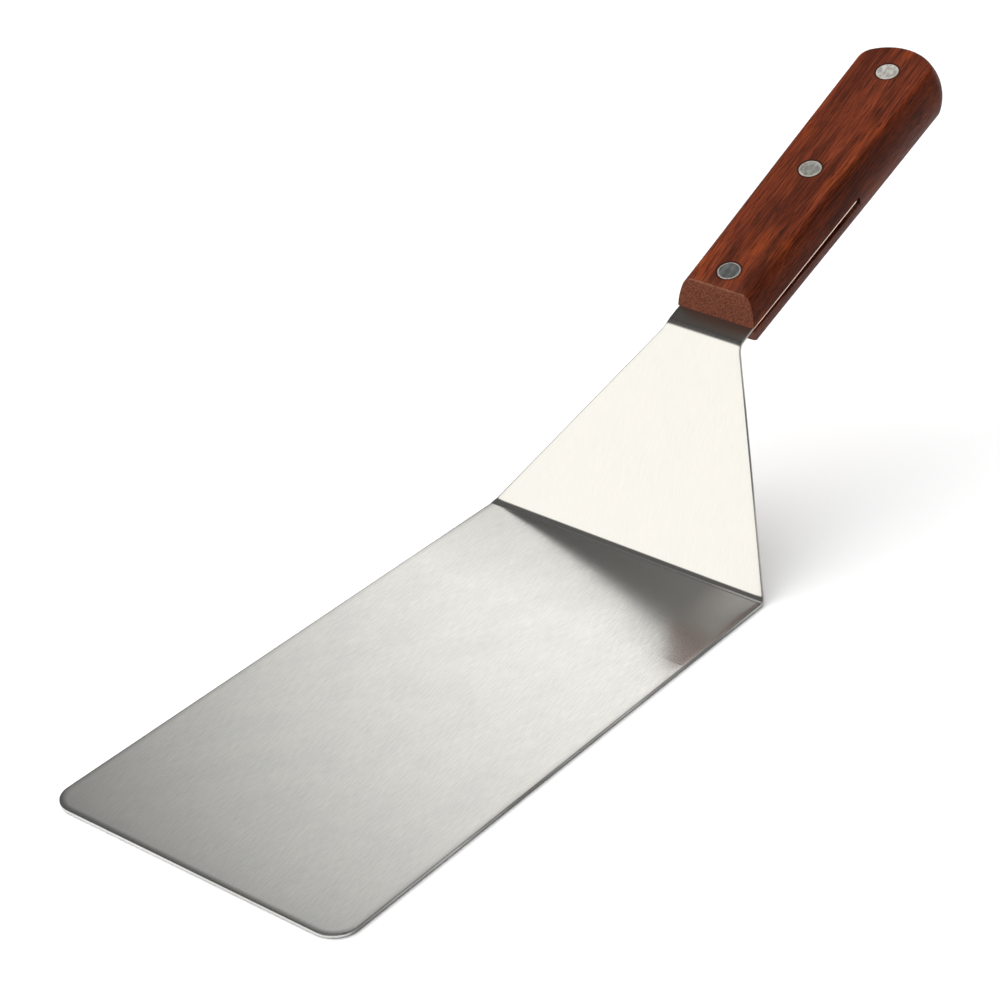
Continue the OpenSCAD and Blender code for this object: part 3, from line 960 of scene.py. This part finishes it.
# ---------------------------------------------------------------- studio
CAMERA_LENS = 103.89
CAMERA_PLACE = (-0.5430, -0.4214, 0.4630)
CAMERA_TURN = math.radians(36.063 - 90)
CAMERA_TILT = math.radians(90 - 30.004)
CAMERA_ROLL = math.radians(0.561)
FLOOR_R = 6.0
FLOOR_STEPS = 96
FLOOR_Z = -0.02 * MM


def make_camera():
    """A long lens, looking down on the spatula from its front right."""
    lens = bpy.data.cameras.new("camera")
    lens.sensor_width = 36
    lens.lens = CAMERA_LENS
    camera = bpy.data.objects.new("camera", lens)
    turn = Matrix.Rotation(CAMERA_TURN, 4, "Z")
    tilt = Matrix.Rotation(CAMERA_TILT, 4, "X")
    roll = Matrix.Rotation(CAMERA_ROLL, 4, "Z")
    camera.matrix_world = Matrix.Translation(CAMERA_PLACE) @ turn @ tilt @ roll
    bpy.context.scene.collection.objects.link(camera)
    bpy.context.scene.camera = camera


def make_floor():
    """A pale floor that keeps the spatula's shadow."""
    angles = [2 * math.pi * i / FLOOR_STEPS for i in range(FLOOR_STEPS)]
    verts = [(FLOOR_R * math.cos(a), FLOOR_R * math.sin(a), FLOOR_Z) for a in angles]
    mesh = bpy.data.meshes.new("floor")
    mesh.from_pydata(verts, [], [tuple(range(FLOOR_STEPS))])
    floor = bpy.data.objects.new("floor", mesh)
    bpy.context.scene.collection.objects.link(floor)
    paint, tree, shader = new_material("floor_paint", {"Roughness": 0.9, "Specular IOR Level": 0.0})
    path = node(tree, "ShaderNodeLightPath").outputs
    seen = sum_of(tree, "MAXIMUM", path["Is Camera Ray"], path["Is Glossy Ray"])
    tree.links.new(mix(tree, seen, FLOOR_LIT, FLOOR_SEEN), shader.inputs["Base Color"])
    mesh.materials.append(paint)


def direction(azimuth, elevation):
    """Unit vector of a direction given in degrees."""
    a, e = math.radians(azimuth), math.radians(elevation)
    return (math.cos(a) * math.cos(e), math.sin(a) * math.cos(e), math.sin(e))


def make_softbox_group():
    """The light of one soft panel at infinity: full inside its inner angle, gone past its outer one."""
    tree, given, result = new_group(
        "softbox",
        [("Direction", VECTOR, None), ("Centre", VECTOR, None), ("Inner", FLOAT, 0.5), ("Outer", FLOAT, 1.0),
         ("Brightness", FLOAT, 1.0)],
        [("Light", FLOAT)],
    )
    pair = {0: given["Direction"], 1: given["Centre"]}
    dot = node(tree, "ShaderNodeVectorMath", pair, operation="DOT_PRODUCT")
    angle = sum_of(tree, "ARCCOSINE", dot.outputs["Value"])
    glow = ramp(tree, angle, given["Inner"], given["Outer"], 1.0, 0.0)
    tree.links.new(sum_of(tree, "MULTIPLY", glow, given["Brightness"]), result["Light"])
    return tree


# Soft panels that the steel mirrors: azimuth and elevation, inner and outer angle in degrees, brightness
PANELS = [
    (30.6, 29.1, 4, 20.0, 1.24),
    (5, 10, 18, 38, 1.15),
    (150, 20, 20, 32, 1.25),
    (50, 70, 7, 13, 0.42),
    (44, 60, 3, 8, 0.5),
    (-45, 18, 26, 48, 0.95),
    (-135, 15, 22, 46, 0.75),
]
# What it mirrors overhead and at the horizon, and the soft light that comes mostly from one side
CEILING = 0.07
HORIZON = 1.0
AMBIENT_TOWARDS = (108, 36)
AMBIENT = (0.12, 2.0)
KEY_TOWARDS = (112, 42)
KEY_DISTANCE = 2.0
KEY_SIZE = 1.8
KEY_POWER = 14
KEY_AIM = (0.08, 0, 0.03)
KEY_TINT = (1, 0.99, 0.97)


def make_world():
    """White behind everything; mirrored, a grey ceiling over a white horizon with soft panels."""
    world = bpy.data.worlds.new("studio")
    bpy.context.scene.world = world
    world.use_nodes = True
    tree = world.node_tree
    tree.nodes.clear()
    look = node(tree, "ShaderNodeTexCoord").outputs["Generated"]
    height = node(tree, "ShaderNodeSeparateXYZ", {0: look}).outputs[2]
    light = ramp(tree, height, -0.02, 0.20, HORIZON, CEILING)
    softbox = make_softbox_group()
    for azimuth, elevation, inner, outer, brightness in PANELS:
        panel = use(tree, softbox, {
            "Direction": look, "Centre": direction(azimuth, elevation), "Inner": math.radians(inner),
            "Outer": math.radians(outer), "Brightness": brightness,
        })["Light"]
        light = sum_of(tree, "MAXIMUM", light, panel)
    path = node(tree, "ShaderNodeLightPath").outputs
    mirrored = node(tree, "ShaderNodeBackground", {"Color": MIRROR_TINT, "Strength": light}).outputs[0]
    pair = {0: look, 1: direction(*AMBIENT_TOWARDS)}
    side = node(tree, "ShaderNodeVectorMath", pair, operation="DOT_PRODUCT").outputs["Value"]
    soft_light = ramp(tree, side, -0.3, 1.0, *AMBIENT)
    ambient = node(tree, "ShaderNodeBackground", {"Color": WHITE, "Strength": soft_light}).outputs[0]
    white = node(tree, "ShaderNodeBackground", {"Color": WHITE, "Strength": 1.0}).outputs[0]
    indirect = {0: path["Is Glossy Ray"], 1: ambient, 2: mirrored}
    glossy = node(tree, "ShaderNodeMixShader", indirect).outputs[0]
    direct = {0: path["Is Camera Ray"], 1: glossy, 2: white}
    seen = node(tree, "ShaderNodeMixShader", direct).outputs[0]
    node(tree, "ShaderNodeOutputWorld", {"Surface": seen})


def make_lamp(name, azimuth, elevation, distance, size, strength, target, tint):
    """A soft area lamp that lights the object and isn't mirrored in it."""
    lamp = bpy.data.lights.new(name, "AREA")
    lamp.shape = "DISK"
    lamp.size = size
    lamp.energy = strength
    lamp.color = tint
    holder = bpy.data.objects.new(name, lamp)
    towards = Vector(direction(azimuth, elevation))
    aim = towards.to_track_quat("Z", "Y").to_matrix().to_4x4()
    holder.matrix_world = Matrix.Translation(Vector(target) + towards * distance) @ aim
    holder.visible_glossy = False
    bpy.context.scene.collection.objects.link(holder)


# ---------------------------------------------------------------- the scene
def dress(piece, material, slot, *nodes):
    """Gives a piece its finish and its body, and hides the CAD nodes that it stands for."""
    if not piece.data.materials:
        piece.data.materials.append(material)
    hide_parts(*nodes)
    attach(piece, BODY)


make_camera()
make_floor()
make_world()
make_lamp("key", *KEY_TOWARDS, KEY_DISTANCE, KEY_SIZE, KEY_POWER, KEY_AIM, KEY_TINT)

blade = make_blade()
dress(blade, make_steel(), "sheet_steel", "blade")
handle = make_handle()
dress(handle, make_wood(), "hardwood", "handle")
rivet_metal = make_rivet_metal()
rivets = rivet_tree(rivet_metal)
on_top = at_tang(RIVET_S) @ Matrix.Translation((0, 0, WOOD_ABOVE))
below = at_tang(RIVET_S) @ Matrix.Translation((0, 0, -WOOD_BELOW)) @ Matrix.Rotation(math.pi, 4, "X")
post_row = rivet_row("rivet_posts", rivets, on_top, {"Shank Diameter": POST_D, "Shank Length": POST_L})
dress(post_row, rivet_metal, "rivet_metal", "front_rivet_post", "middle_rivet_post", "rear_rivet_post")
tube_row = rivet_row("rivet_tubes", rivets, below, {
    "Shank Diameter": TUBE_D,
    "Shank Length": TUBE_L - HEAD_T,
    "Bore Diameter": POST_D,
    "Bore Depth": TUBE_L - HEAD_T - TUBE_FLOOR,
})
dress(tube_row, rivet_metal, "rivet_metal", "front_rivet_tube", "middle_rivet_tube", "rear_rivet_tube")

bpy.context.scene.view_settings.view_transform = "Standard"
